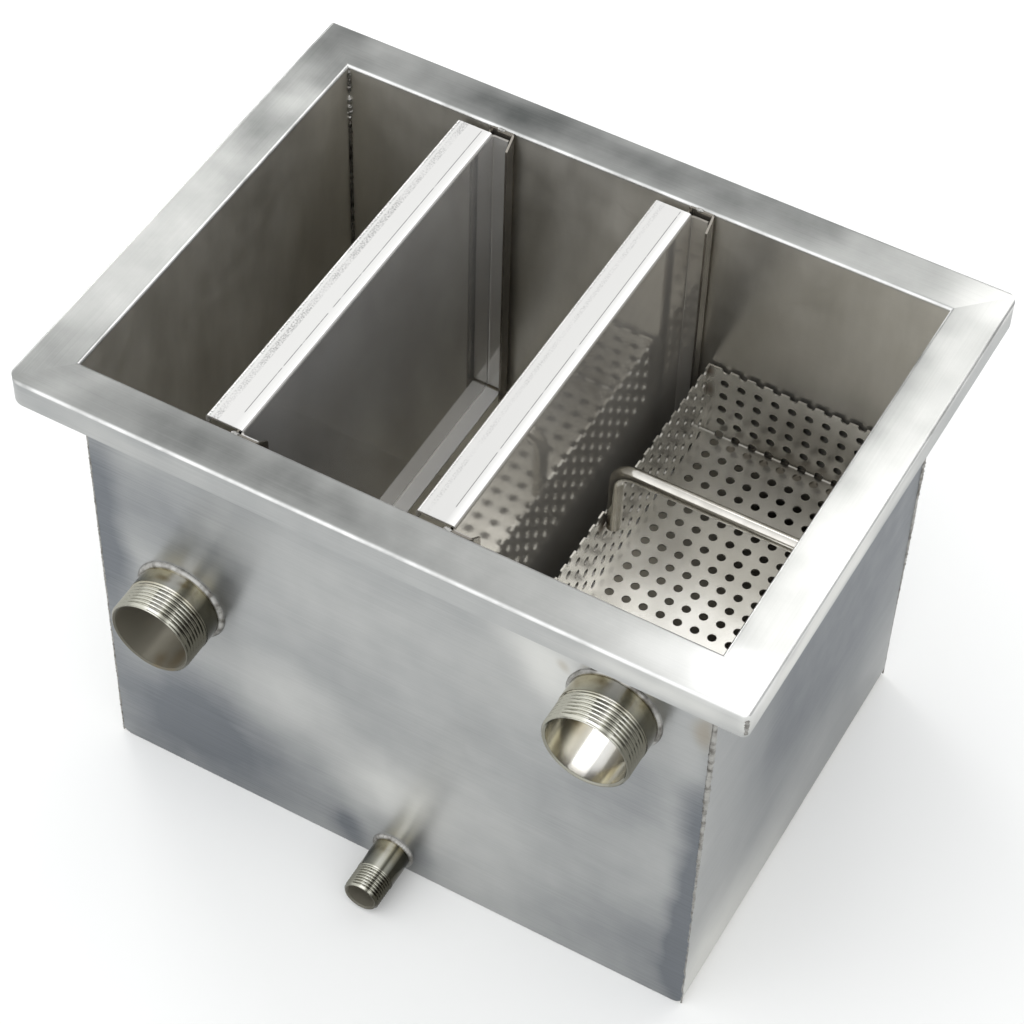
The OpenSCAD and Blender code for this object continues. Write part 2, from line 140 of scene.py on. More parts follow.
# Painted reflections on the front panel: lighter and darker patches that stand in for what the satin sheet
# mirrors, darkest at the lower left
frontPaintedReflections = [
    ((-130, -125, 20), (150, 60, 100), -0.36), ((-120, -125, 60), (80, 60, 70), -0.26),
    ((60, -125, 215), (120, 60, 110), 0.06), ((85, -125, 235), (36, 60, 36), 0.36),
    ((176, -125, 110), (22, 60, 190), -0.62), ((174, -125, 40), (50, 60, 90), -0.20),
    ((-174, -125, 170), (30, 60, 170), -0.50), ((40, -125, 70), (130, 60, 80), 0.08),
    ((140, -125, 20), (100, 60, 80), -0.25), ((-110, -125, 235), (100, 60, 80), -0.14),
    ((123, -125, 165), (50, 60, 60), -0.16), ((-96, -125, 190), (24, 60, 34), -0.10),
    ((-40, -125, 130), (260, 60, 260), -0.11), ((-60, -125, 105), (70, 60, 50), 0.22),
    ((0, -125, 65), (60, 60, 50), 0.38), ((-30, -125, 12), (20, 60, 26), -0.30),
    ((20, -125, 14), (14, 60, 26), -0.20), ((120, -125, 80), (95, 60, 100), -0.13),
    ((154, -125, 165), (36, 60, 70), -0.13), ((-75, -125, 225), (70, 60, 50), 0.08),
    ((-150, -125, 215), (60, 60, 60), -0.12)]
# Painted reflections on the wrap's right face: darker above, lighter near its bottom front
wrapPaintedReflections = [((175, 40, 180), (40, 240, 260), -0.62), ((175, -90, 5), (60, 130, 70), 0.50)]
rimPaintedReflections = [  # painted highlights and painted darker patches on the rim, what it mirrors drawn into its colour; they run round the corners, so every sheet has them
    ((-70, -138, 303), (170, 26, 12), -0.32), ((175, -138, 303), (105, 30, 12), 0.46),
    ((160, -150, 290), (90, 12, 12), 0.35), ((-70, 138, 303), (140, 26, 12), -0.47),
    ((80, 138, 303), (140, 30, 12), -0.27), ((190, 142, 303), (40, 40, 12), 0.24),
    ((188, -10, 303), (40, 260, 12), 0.16), ((188, 90, 303), (40, 120, 12), 0.18),
    ((188, -40, 303), (40, 110, 12), 0.36), ((200, -60, 291), (14, 160, 14), 0.6),
    ((-188, -140, 303), (40, 80, 12), -0.18), ((-188, 145, 303), (40, 190, 12), -0.46),
    ((-188, 15, 303), (40, 60, 12), -0.15)]
wrapShade = [  # under the basket, left wall
    ((70, 0, 0), (160, 220, 170), 0.92), ((-174, 0, 210), (30, 160, 130), 0.08)]
backShade = [
    ((120, 124, 200), (120, 60, 110), 0.26), ((110, 124, 185), (90, 60, 50), 0.26),
    ((90, 124, 40), (110, 60, 120), 0.8), ((110, 124, 105), (90, 60, 50), 0.7)]
cornerPaintedHighlight = [((186, -136, 302), (52, 30, 14), 0.8)]  # painted highlight, near white, on the front right corner of the rim
frontTint = [  # browned by the welds
    ((168, -125, 240), (10, 30, 26), 0.4), ((96, -125, 238), (6, 30, 7), 0.3)]


# 0 outside, 1 inside the tank, told by the place of the sheet's two faces
def insideTank(tree, place):
    axes = addNode(tree, "SeparateXYZ", {"Vector": place})
    ends = [tank["top"] + d * mm for d in tankLook["innerTopMm"]]
    inside = addNode(tree, "MapRange", {"Value": axes.outputs["Z"]} | mapEnds(ends, (1, 0)))
    for axis, half in (("X", tank["halfX"]), ("Y", tank["halfY"])):
        flat = addNode(tree, "Math", {0: axes.outputs[axis]}, operation="ABSOLUTE")
        ends = [half - tank["sheet"] * part for part in tankLook["innerSheet"]]
        edge = addNode(tree, "MapRange", {"Value": flat} | mapEnds(ends, (1, 0)))
        inside = addNode(tree, "Math", {0: inside, 1: edge}, operation="MULTIPLY")
    return inside


# Reach of the rim's folds from the wall, from the rim's edge and from the tank's top, and their soft ends
foldLook = {"inner": (-1.3 * mm, -0.1 * mm), "innerSoft": 0.25 * mm, "outer": 1 * mm, "outerSoft": 0.4 * mm,
            "top": (-1.7 * mm, 5 * mm), "topSoft": 0.3 * mm}


# 1 on the folds of the rim, which are stretched and rubbed bright and carry a painted highlight too
def rimFolds(tree, place):
    look = foldLook
    axes = addNode(tree, "SeparateXYZ", {"Vector": place})
    x, y = (addNode(tree, "Math", {0: axes.outputs[k]}, operation="ABSOLUTE") for k in "XY")
    halfX, halfY = tank["halfX"], tank["halfY"]
    low, high = look["inner"]
    folds = 0
    for along, half, across, other in ((x, halfX, y, halfY), (y, halfY, x, halfX)):
        edge = between(tree, along, half + low, half + high, look["innerSoft"])
        length = between(tree, across, -mm, other + high, look["innerSoft"])  # from the middle to the corner
        inner = addNode(tree, "Math", {0: edge, 1: length}, operation="MULTIPLY")
        rimEdge = half + tank["rim"]
        outer = between(tree, along, rimEdge - look["outer"], rimEdge + look["outer"], look["outerSoft"])
        for strip in (inner, outer):
            folds = addNode(tree, "Math", {0: folds, 1: strip}, operation="MAXIMUM")
    low, high = look["top"]
    top = between(tree, axes.outputs["Z"], tank["top"] + low, tank["top"] + high, look["topSoft"])
    return addNode(tree, "Math", {0: folds, 1: top}, operation="MULTIPLY")


# Grain that turns to the mitre near the rim's corners, which were ground after welding
def mitredGrain(tree, place, grain):
    axes = addNode(tree, "SeparateXYZ", {"Vector": place})
    x, y = (addNode(tree, "Math", {0: axes.outputs[k]}, operation="ABSOLUTE") for k in "XY")
    apart = addNode(tree, "Math", {0: x, 1: y}, operation="SUBTRACT")
    apart = addNode(tree, "Math", {0: apart, 1: tank["halfX"] - tank["halfY"]}, operation="SUBTRACT")
    apart = addNode(tree, "Math", {0: apart}, operation="ABSOLUTE")
    near = addNode(tree, "MapRange", {"Value": apart} | mapEnds((0, tankLook["mitreMm"] * mm), (1, 0)),
                   interpolation_type="SMOOTHERSTEP")
    side = addNode(tree, "Math", {0: axes.outputs["X"], 1: axes.outputs["Y"]}, operation="MULTIPLY")
    side = addNode(tree, "Math", {0: side}, operation="SIGN")
    turn = addNode(tree, "Math", {0: near, 1: side}, operation="MULTIPLY")
    turned = addNode(tree, "CombineXYZ", {"X" if grain[1] > 0.5 else "Y": turn})
    return addNode(tree, "VectorMath", {0: turned, 1: grain}, operation="ADD")


def tankSteel(name, grain, spots, shadeSpots=(), tintSpots=(), highlightSpots=()):
    look = tankLook
    material, tree = newMaterial(name)
    place, shaken = shakenPlace(tree, look["shakeWaveMm"], look["shakeMm"])
    cloud = addNode(tree, "TexNoise", {"Vector": shaken, "Scale": 1 / (look["cloudMm"] * mm), "Detail": 3})
    smudge = addNode(tree, "TexNoise", {"Vector": place, "Scale": 1 / (look["smudgeMm"] * mm), "Detail": 4})
    lineScale = [1 / (look["lineLengthMm" if g > 0.5 else "lineMm"] * mm) for g in grain]
    stretched = addNode(tree, "VectorMath", {0: place, 1: lineScale}, operation="MULTIPLY")
    lines = addNode(tree, "TexNoise", {"Vector": stretched, "Scale": 1, "Detail": 3})
    height = addNode(tree, "SeparateXYZ", {"Vector": place}).outputs["Z"]
    low, high = (tank["top"] + d * mm for d in look["rimMm"])
    top = between(tree, height, low, high, look["rimSoftMm"] * mm)
    tone = addNode(tree, "MapRange", {"Value": cloud} | mapEnds(look["cloudFrom"], look["cloudTo"]))
    for layer, change in ((smudge, look["smudge"]), (lines, look["lines"])):
        centred = addNode(tree, "Math", {0: layer, 1: 0.5}, operation="SUBTRACT")
        amount = addNode(tree, "MapRange", {"Value": top} | mapEnds((0, 1), change))
        tone = addNode(tree, "Math", {0: centred, 1: amount, 2: tone}, operation="MULTIPLY_ADD")
    tone = addSpots(tree, shaken, tone, [*spots, *rimPaintedReflections])
    # outside
    deep = addNode(tree, "Mix", {0: lines, 6: colour(look["dark"]), 7: colour(look["darkLine"])},
                   data_type="RGBA")
    deep = addNode(tree, "Mix", {0: top, 6: deep, 7: colour(look["rim"])}, data_type="RGBA")
    outer = addNode(tree, "Mix", {0: tone, 6: deep, 7: colour(look["light"])}, data_type="RGBA")
    outer = addStains(tree, shaken, outer, tintSpots, look["tint"])
    # a painted highlight at the spots given
    outer = addStains(tree, shaken, outer, highlightSpots, look["highlight"])
    # inside, with streaks that run down
    upright = addNode(tree, "Mapping", {"Vector": place, "Scale": look["streakUpright"]})
    streak = addNode(tree, "TexNoise", {"Vector": upright, "Scale": 1 / (look["streakMm"] * mm), "Detail": 4})
    streak = addNode(tree, "Math", {0: streak, 1: look["streak"], 2: -look["streak"] / 2},
                     operation="MULTIPLY_ADD")
    stained = addNode(tree, "Math", {0: tone, 1: streak}, operation="ADD")
    inner = addNode(tree, "Mix", {0: stained, 6: colour(look["innerDark"]), 7: colour(look["innerLight"])},
                    data_type="RGBA")
    inner = addStains(tree, shaken, inner, shadeSpots, look["shade"])
    base = addNode(tree, "Mix", {0: insideTank(tree, place), 6: outer, 7: inner}, data_type="RGBA")
    # the folds, stretched and rubbed, with a painted highlight, bright where they aren't smudged
    rubbed = addNode(tree, "MapRange",
                     {"Value": smudge} | mapEnds(look["rubbedFrom"], (look["leastRubbed"], 1)))
    folds = addNode(tree, "Math", {0: rimFolds(tree, place), 1: rubbed}, operation="MULTIPLY")
    base = addNode(tree, "Mix", {0: folds, 6: base, 7: colour(look["fold"])}, data_type="RGBA")
    rough = addNode(tree, "Math", {0: folds, 1: look["foldRough"], 2: look["rough"]},
                    operation="MULTIPLY_ADD")
    rough = addNode(tree, "Math", {0: smudge, 1: look["smudgeRough"], 2: rough}, operation="MULTIPLY_ADD")
    wave = addNode(tree, "TexNoise", {"Vector": place, "Scale": 1 / (look["waveMm"] * mm), "Detail": 1})
    dent = addNode(tree, "Bump", {"Height": wave, "Distance": look["waveHeightMm"] * mm, "Strength": 1})
    normal = addNode(tree, "NewGeometry").outputs["Normal"]
    across = addNode(tree, "VectorMath", {0: normal, 1: mitredGrain(tree, place, grain)},
                     operation="CROSS_PRODUCT")
    shader = addNode(tree, "BsdfPrincipled", {
        "Base Color": base, "Metallic": 1, "Roughness": rough, "Anisotropic": look["anisotropic"],
        "Tangent": across, "Normal": dent})
    addNode(tree, "OutputMaterial", {"Surface": shader})
    return material


alongX, alongY = (1, 0.01, 0.02), (0.01, 1, 0.02)  # never quite square to a face
wrapSteel = tankSteel("stainless_sheet_wrap", alongY, wrapPaintedReflections, wrapShade, (), cornerPaintedHighlight)
frontSteel = tankSteel("stainless_sheet_front", alongX, frontPaintedReflections, (), frontTint, cornerPaintedHighlight)
backSteel = tankSteel("stainless_sheet_back", alongX, (), backShade)


# Flanges of a baffle: the top one has rows of scuffs along its left edge, a thin dark line from the press
# and a bend painted pale, a painted highlight; the bottom one is duller than the panel and painted paler for
# the light that falls on it
def flangeMarks(tree, place, base, rough, look):
    edge, soft = look["edgeMm"], look["soft"]
    axes = addNode(tree, "SeparateXYZ", {"Vector": place})
    x, y, z = (axes.outputs[k] for k in "XYZ")
    low, high = (tank["top"] + d * mm for d in look["topMm"])
    top = between(tree, z, low, high, soft["top"])
    speck = addNode(tree, "TexNoise", {"Vector": place, "Scale": 1 / (look["speckMm"] * mm), "Detail": 4})
    speck = addNode(tree, "MapRange", {"Value": speck} | mapEnds(look["speckFrom"]))
    patch = addNode(tree, "TexNoise", {"Vector": place, "Scale": 1 / (look["patchMm"] * mm), "Detail": 2})
    patch = addNode(tree, "MapRange", {"Value": patch} | mapEnds(look["patchFrom"], (look["leastPatch"], 1)))
    speck = addNode(tree, "Math", {0: speck, 1: patch}, operation="MULTIPLY")
    marks = 0
    for low, high, amount in look["scuffs"]:
        row = between(tree, x, (edge + low) * mm, (edge + high) * mm, soft["scuff"])
        row = addNode(tree, "Math", {0: row, 1: speck}, operation="MULTIPLY")
        row = addNode(tree, "Math", {0: row, 1: amount}, operation="MULTIPLY")
        marks = addNode(tree, "Math", {0: marks, 1: row}, operation="MAXIMUM")
    low, high = look["pressLineMm"]
    line = between(tree, x, (edge + low) * mm, (edge + high) * mm, soft["press"])
    low, high = look["pressRunMm"]
    run = between(tree, y, low * mm, high * mm, soft["run"])
    gaps = addNode(tree, "TexNoise", {"Vector": place, "Scale": 1 / (look["gapMm"] * mm), "Detail": 1})
    gaps = addNode(tree, "MapRange", {"Value": gaps} | mapEnds(look["gapFrom"]))
    line = addNode(tree, "Math", {0: line, 1: run}, operation="MULTIPLY")
    line = addNode(tree, "Math", {0: line, 1: gaps}, operation="MULTIPLY")
    marks = addNode(tree, "Math", {0: marks, 1: line}, operation="MAXIMUM")
    marks = addNode(tree, "Math", {0: marks, 1: top}, operation="MULTIPLY")
    low, high = look["bendMm"]
    bend = between(tree, x, (edge + low) * mm, (edge + high) * mm, soft["bend"])
    bend = addNode(tree, "Math", {0: bend, 1: top}, operation="MULTIPLY")
    low, high = look["footMm"]
    foot = between(tree, z, low * mm, high * mm, soft["foot"])
    for tone, amount in {"top": top, "bend": bend, "mark": marks, "foot": foot}.items():
        base = addNode(tree, "Mix", {0: amount, 6: base, 7: colour(look[tone])}, data_type="RGBA")
    dull = addNode(tree, "Math", {0: top, 1: foot}, operation="MAXIMUM")
    rough = addNode(tree, "Math", {0: dull, 1: look["dullRough"], 2: rough}, operation="MULTIPLY_ADD")
    return base, rough, foot


# Bright stainless sheet of the loose parts and guides: smoother, so that it mirrors what is next to it,
# under a thin film of dirt that lowers its Metallic
brightLook = {"shakeWaveMm": 8, "shakeMm": 1.5, "cloudFrom": (0.3, 0.7), "roughSpread": 0.2, "rustRough": 0.5}


def brightSteel(name, look):
    material, tree = newMaterial(name)
    place, shaken = shakenPlace(tree, brightLook["shakeWaveMm"], brightLook["shakeMm"])
    cloud = addNode(tree, "TexNoise", {"Vector": place, "Scale": 1 / (look["cloudMm"] * mm), "Detail": 3})
    tone = addNode(tree, "MapRange", {"Value": cloud} | mapEnds(brightLook["cloudFrom"]))
    base = addNode(tree, "Mix", {0: tone, 6: colour(look["dark"]), 7: colour(look["light"])},
                   data_type="RGBA")
    spread = brightLook["roughSpread"]
    ends = [look["rough"] * (1 - spread), look["rough"] * (1 + spread)]
    rough = addNode(tree, "MapRange", {"Value": cloud} | mapEnds((0, 1), ends))
    metal = 1 - look["film"]
    if "rust" in look:
        rust = addSpots(tree, shaken, 0, look["rust"])
        base = addNode(tree, "Mix", {0: rust, 6: base, 7: colour(look["rustTone"])}, data_type="RGBA")
        rough = addNode(tree, "Math", {0: rust, 1: brightLook["rustRough"], 2: rough},
                        operation="MULTIPLY_ADD")
    if "shade" in look:
        base = addStains(tree, shaken, base, look["shade"], look["shadeTone"])
    if "edgeMm" in look:
        base, rough, foot = flangeMarks(tree, place, base, rough, look)
        metal = addNode(tree, "Math", {0: foot, 1: -look["footFilm"], 2: metal}, operation="MULTIPLY_ADD")
    shader = addNode(tree, "BsdfPrincipled", {"Base Color": base, "Metallic": metal, "Roughness": rough})
    addNode(tree, "OutputMaterial", {"Surface": shader})
    return material


# Places across a baffle are counted from its top flange's left edge, the foot is its bottom flange
baffleLook = {
    "dark": "#D4D2CE", "light": "#E2E1DE", "cloudMm": 50, "rough": 0.06, "film": 0.3,
    # bend is a painted highlight on the top flange's bend, foot is painted light on the bottom flange
    "top": "#DBDAD7", "bend": "#E6E5E2", "mark": "#4A4A48", "foot": "#F8F7F4",
    "dullRough": 0.32, "footFilm": 0.58, "speckMm": 0.9, "speckFrom": (0.4, 0.68),
    "patchMm": 16, "patchFrom": (0.3, 0.55), "leastPatch": 0.2, "gapMm": 4, "gapFrom": (0.28, 0.40),
    "topMm": (-2.4, 10), "pressLineMm": (15.4, 15.7), "pressRunMm": (-109, 118),
    "bendMm": (17, 25), "footMm": (102, 105.5),
    "soft": {"top": 0.2 * mm, "scuff": 0.3 * mm, "press": 0.15 * mm, "run": 0.5 * mm, "bend": 1.5 * mm,
             "foot": 0.3 * mm}}
outletBaffleSteel = brightSteel("stainless_sheet_outlet_baffle", baffleLook | {
    "edgeMm": -105.1, "scuffs": [(0.6, 2.6, 0.75), (3.8, 7.2, 0.6)]})
# The inlet baffle is the same sheet as the outlet baffle, painted darker on its panel and top flange: painted
# shade
inletBaffleSteel = brightSteel("stainless_sheet_inlet_baffle", baffleLook | {
    "edgeMm": 11.3, "scuffs": [(0.6, 2.4, 0.35), (4.4, 6.6, 0.25)],
    "dark": "#AEAAA2", "light": "#BEBBB4", "top": "#D0CFCC", "film": 0.46, "rough": 0.068})
# The guides are painted much darker than the rest of the sheet: painted shade for the gaps where they stand
guideSteel = brightSteel("stainless_sheet_guides", {
    "dark": "#746F66", "light": "#8F8A82", "cloudMm": 30, "rough": 0.2, "film": 0.15})
basketSteel = brightSteel("perforated_stainless_basket", {
    "dark": "#BFBDB6", "light": "#DAD8D2", "cloudMm": 25, "rough": 0.24, "film": 0.2,
    "shadeTone": "#3A301A", "shade": [
        ((110, 124, 168), (90, 14, 50), 0.66), ((110, 120, 143), (120, 90, 14), 0.4),
        ((51, 30, 172), (8, 170, 40), 0.3)],
    "rustTone": "#5E4428", "rust": [
        ((51, 120, 190), (5, 5, 7), 0.7), ((52, 120, 176), (4, 4, 9), 0.6), ((51, 2, 184), (5, 10, 8), 0.8)]})
rodSteel = brightSteel("polished_stainless_rod", {
    "dark": "#B9B6AE", "light": "#D0CDC6", "cloudMm": 12, "rough": 0.14, "film": 0,
    "rustTone": "#5E4428", "rust": [((53, 5, 183), (6, 6, 5), 0.8)]})

# Turned pipe, browned in blotches by the welding heat next to the tank, clean at the thread and dull inside,
# with painted highlights and painted shade round it
pipeLook = {
    "clean": "#B6B5A9", "straw": "#CBC09C", "brown": "#6E6044", "paintedHighlight": "#F4F2EC", "bore": "#8B877A",
    "paintedShade": "#46443A", "stain": "#6E5A36", "shakeWaveMm": 10, "shakeMm": 3, "tintMm": 15, "blotchMm": 9,
    "blotchFrom": (0.44, 0.6), "turning": (0.1, 1, 0.05),  # turned about Y, never quite square to a face
    "rough": 0.15, "boreRough": 0.42, "boreMetal": 0.55, "anisotropic": 0.4}
# Stains in the outlet's bore, and beside the welds of the outlet and the inlet
pipeStains = [
    ((-115, -146, 130), (9, 14, 9), 0.5), ((-124, -150, 127), (6, 9, 6), 0.5),
    ((-131, -133, 172), (8, 4, 5), 0.6), ((-119, -131, 171), (5, 3, 5), 0.5),
    ((118, -131, 248), (9, 4, 5), 0.5)]


def pipeSteel():
    look = pipeLook
    material, tree = newMaterial("turned_stainless_pipe")
    place, shaken = shakenPlace(tree, look["shakeWaveMm"], look["shakeMm"])
    depth = addNode(tree, "SeparateXYZ", {"Vector": shaken}).outputs["Y"]
    panel = -tank["halfY"]
    heat = addNode(tree, "MapRange", {"Value": depth} | mapEnds((panel - look["tintMm"] * mm, panel)))
    blotch = addNode(tree, "TexNoise", {"Vector": place, "Scale": 1 / (look["blotchMm"] * mm), "Detail": 3})
    blotch = addNode(tree, "MapRange", {"Value": blotch} | mapEnds(look["blotchFrom"]))
    burnt = addNode(tree, "Math", {0: heat, 1: blotch}, operation="MULTIPLY")
    paintedHighlight, bore, paintedShade = (
        addNode(tree, "Attribute", attribute_name=k).outputs["Fac"] for k in ("paintedHighlight", "bore", "paintedShade"))
    base = colour(look["clean"])
    layers = {"straw": heat, "brown": burnt, "paintedHighlight": paintedHighlight, "bore": bore, "paintedShade": paintedShade}
    for tone, amount in layers.items():
        base = addNode(tree, "Mix", {0: amount, 6: base, 7: colour(look[tone])}, data_type="RGBA")
    base = addStains(tree, shaken, base, pipeStains, look["stain"])
    # scale dulls a bore
    rough = addNode(tree, "MapRange", {"Value": bore} | mapEnds((0, 1), (look["rough"], look["boreRough"])))
    metal = addNode(tree, "MapRange", {"Value": bore} | mapEnds((0, 1), (1, look["boreMetal"])))
    axis = addNode(tree, "CombineXYZ", dict(zip("XYZ", look["turning"])))
    shader = addNode(tree, "BsdfPrincipled", {
        "Base Color": base, "Metallic": metal, "Roughness": rough, "Anisotropic": look["anisotropic"],
        "Tangent": axis})
    addNode(tree, "OutputMaterial", {"Surface": shader})
    return material


# Weld metal: grey ripples with darker oxide here and there
weldLook = {"dark": "#625F5A", "light": "#A3A29E", "lumpMm": 5, "lumpFrom": (0.32, 0.58), "rough": 0.32}
burntLook = weldLook | {"dark": "#34322E", "light": "#74716B", "lumpMm": 4, "rough": 0.45}


def weldMetal(name, look):
    material, tree = newMaterial(name)
    place = addNode(tree, "TexCoord").outputs["Object"]
    lump = addNode(tree, "TexNoise", {"Vector": place, "Scale": 1 / (look["lumpMm"] * mm), "Detail": 4})
    tone = addNode(tree, "MapRange", {"Value": lump} | mapEnds(look["lumpFrom"]))
    base = addNode(tree, "Mix", {0: tone, 6: colour(look["dark"]), 7: colour(look["light"])},
                   data_type="RGBA")
    shader = addNode(tree, "BsdfPrincipled", {"Base Color": base, "Metallic": 1, "Roughness": look["rough"]})
    addNode(tree, "OutputMaterial", {"Surface": shader})
    return material


turnedPipe = pipeSteel()
weldSteel = weldMetal("stainless_weld", weldLook)
burntWeld = weldMetal("stainless_weld_burnt", burntLook)
finishes = {
    "tank_wrap": wrapSteel, "front_panel": frontSteel, "back_panel": backSteel,
    "outlet_baffle": outletBaffleSteel, "inlet_baffle": inletBaffleSteel, "basket_tray": basketSteel,
    "basket_side_left": basketSteel, "basket_side_right": basketSteel, "basket_handle": rodSteel}
for name, node in nodes.items():
    dress(node, finishes.get(name, guideSteel))
print("materials ready")


def fitPiece(piece, name, material, slot, *replaced):
    piece.name = name
    piece.data.name = name
    dress(piece, material)
    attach(piece, "tank")
    if replaced:
        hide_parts(*replaced)


# Pipes with a real helical thread, in place of the plain ones
pipes = {
    # the last number darkens the whole pipe: painted shade
    "inlet": {"pitch": 2.309 * mm, "depth": 1.25 * mm, "sides": 144, "paintedShade": 0},
    "outlet": {"pitch": 2.309 * mm, "depth": 1.25 * mm, "sides": 144, "paintedShade": 0.1},
    "drain": {"pitch": 1.814 * mm, "depth": 1.0 * mm, "sides": 96, "paintedShade": 0.3}}
thread = {"ringsPerPitch": 10, "chamfer": 1 * mm, "lip": 0.4 * mm, "flank": 1.3, "root": 0.15,
          "smoothDegrees": 40}
hair = 0.01 * mm  # two places closer than this are the same
# Painted highlights and painted shade round a pipe's axis, for the reflections it shows, from +X over the
# top: degrees, then -1 painted shade to 1 painted highlight
pipeRound = [
    (-180, -0.3), (-90, -0.5), (-22, -0.85), (38, -0.8), (52, 0.1), (58, 0.2), (64, -0.6), (69, -0.5),
    (76, 0.6), (87, 0.7), (98, 0), (115, -0.2), (158, -0.4), (180, -0.5)]
# The same inside each bore, then how dull the bore is and how dark its mouth is painted, a painted shade
bores = {
    "inlet": {"round": [(-180, -0.35), (-142, -0.2), (-118, 0.9), (-84, 1), (-58, 0.15), (0, 0),
                        (180, -0.35)],
              "dull": 0.1, "mouth": 0.55},
    "outlet": {"round": [(-180, -0.3), (-130, -0.25), (-90, 0), (-60, 0.15), (0, 0), (180, -0.3)],
               "dull": 1, "mouth": 0.75},
    "drain": {"round": [(-180, 0), (180, 0)], "dull": 1, "mouth": 0.75}}


def roundTone(table, degrees):
    for (a, low), (b, high) in zip(table, table[1:]):
        if a <= degrees <= b:
            return low + (high - low) * (degrees - a) / (b - a)


def threadedPipe(kind, size):
    low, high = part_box(kind + "_pipe")
    threadDims = mounts[kind + "_thread"]["dims"]
    boreDims = mounts[kind + "_bore"]["dims"]
    axis = Vector(((low.x + high.x) / 2, 0, (low.z + high.z) / 2))
    outer = (high.x - low.x) / 2
    crest = threadDims["r_mm"] * mm
    bore = boreDims["r_mm"] * mm
    bevel = high.y - low.y - boreDims["length_mm"] * mm
    start = low.y + threadDims["length_mm"] * mm + thread["chamfer"]
    count = round((start - low.y) / size["pitch"] * thread["ringsPerPitch"])
    step = (low.y - start) / count
    stations = [(start, outer), (start, crest)] + [(start + step * (i + 1), crest) for i in range(count)]
    stations += [(low.y, bore + bevel), (low.y + bevel, bore), (low.y + bevel + thread["lip"], bore)]
    stations += [(high.y, bore)]
    bpy.ops.object.select_all(action="DESELECT")
    bpy.ops.mesh.primitive_circle_add(vertices=size["sides"], radius=outer,
                                      location=axis + Vector((0, high.y, 0)), rotation=(math.pi / 2, 0, 0))
    bpy.ops.object.transform_apply()
    pipe = bpy.context.object
    bpy.ops.object.mode_set(mode="EDIT")
    lastY, lastR = high.y, outer
    for y, radius in stations:
        bpy.ops.mesh.extrude_region_move(TRANSFORM_OT_translate={"value": (0, y - lastY, 0)})
        if radius != lastR:
            grow = radius / lastR
            bpy.ops.transform.resize(value=(grow, 1, grow), center_override=axis + Vector((0, y, 0)))
        lastY, lastR = y, radius
    bpy.ops.mesh.select_all(action="DESELECT")
    bpy.ops.mesh.select_non_manifold()
    bpy.ops.mesh.bridge_edge_loops()
    bpy.ops.mesh.select_all(action="SELECT")
    bpy.ops.mesh.normals_make_consistent(inside=False)
    bpy.ops.object.mode_set(mode="OBJECT")
    layers = {k: pipe.data.attributes.new(k, "FLOAT", "POINT") for k in ("paintedHighlight", "paintedShade", "bore")}
    for v in pipe.data.vertices:
        across, along = Vector((v.co.x - axis.x, v.co.z - axis.z)), start - v.co.y
        turned = math.atan2(across.y, across.x)
        inside = across.length < bore + bevel + hair
        if inside and v.co.y < low.y + bevel + 10 * hair:
            tone = -bores[kind]["mouth"]
        elif inside:
            tone = roundTone(bores[kind]["round"], math.degrees(turned))
        else:
            tone = roundTone(pipeRound, math.degrees(turned)) - size["paintedShade"]
        for layer, amount in (("paintedHighlight", tone), ("paintedShade", -tone), ("bore", inside * bores[kind]["dull"])):
            layers[layer].data[v.index].value = max(0, amount)
        if abs(across.length - crest) > hair or along < 0:
            continue
        # the thread is cut from its start to the mouth, and the chamfer takes off its last crests
        turn = (along / size["pitch"] - turned / (2 * math.pi)) % 1
        ridge = min(1, max(0, (1 - abs(2 * turn - 1)) * thread["flank"] - thread["root"]))
        cut = size["depth"] * (1 - ridge) * min(1, along / size["pitch"])
        cut = max(cut, low.y + thread["chamfer"] - v.co.y)
        across *= 1 - cut / across.length
        v.co.x, v.co.z = axis.x + across.x, axis.z + across.y
    bpy.ops.object.shade_smooth_by_angle(angle=math.radians(thread["smoothDegrees"]))
    fitPiece(pipe, kind + "_threaded_pipe", turnedPipe, "pipe_steel", kind + "_pipe")


# Rippled weld bead round each pipe, in place of the plain ones
beads = {
    "inlet": {"node": "inlet_weld", "steps": 384, "full": 0.62},
    "outlet": {"node": "outlet_weld", "steps": 384, "full": 0.8},
    "drain": {"node": "drain_weld_bead", "steps": 192, "full": 0.8}}
beadLook = {"sides": 14, "rippleMm": 1.5, "rippleHeight": 0.07 * mm, "raggedMm": 9, "ragged": 0.35 * mm,
            "sink": 0.15 * mm}
weldSmooth = math.radians(60)


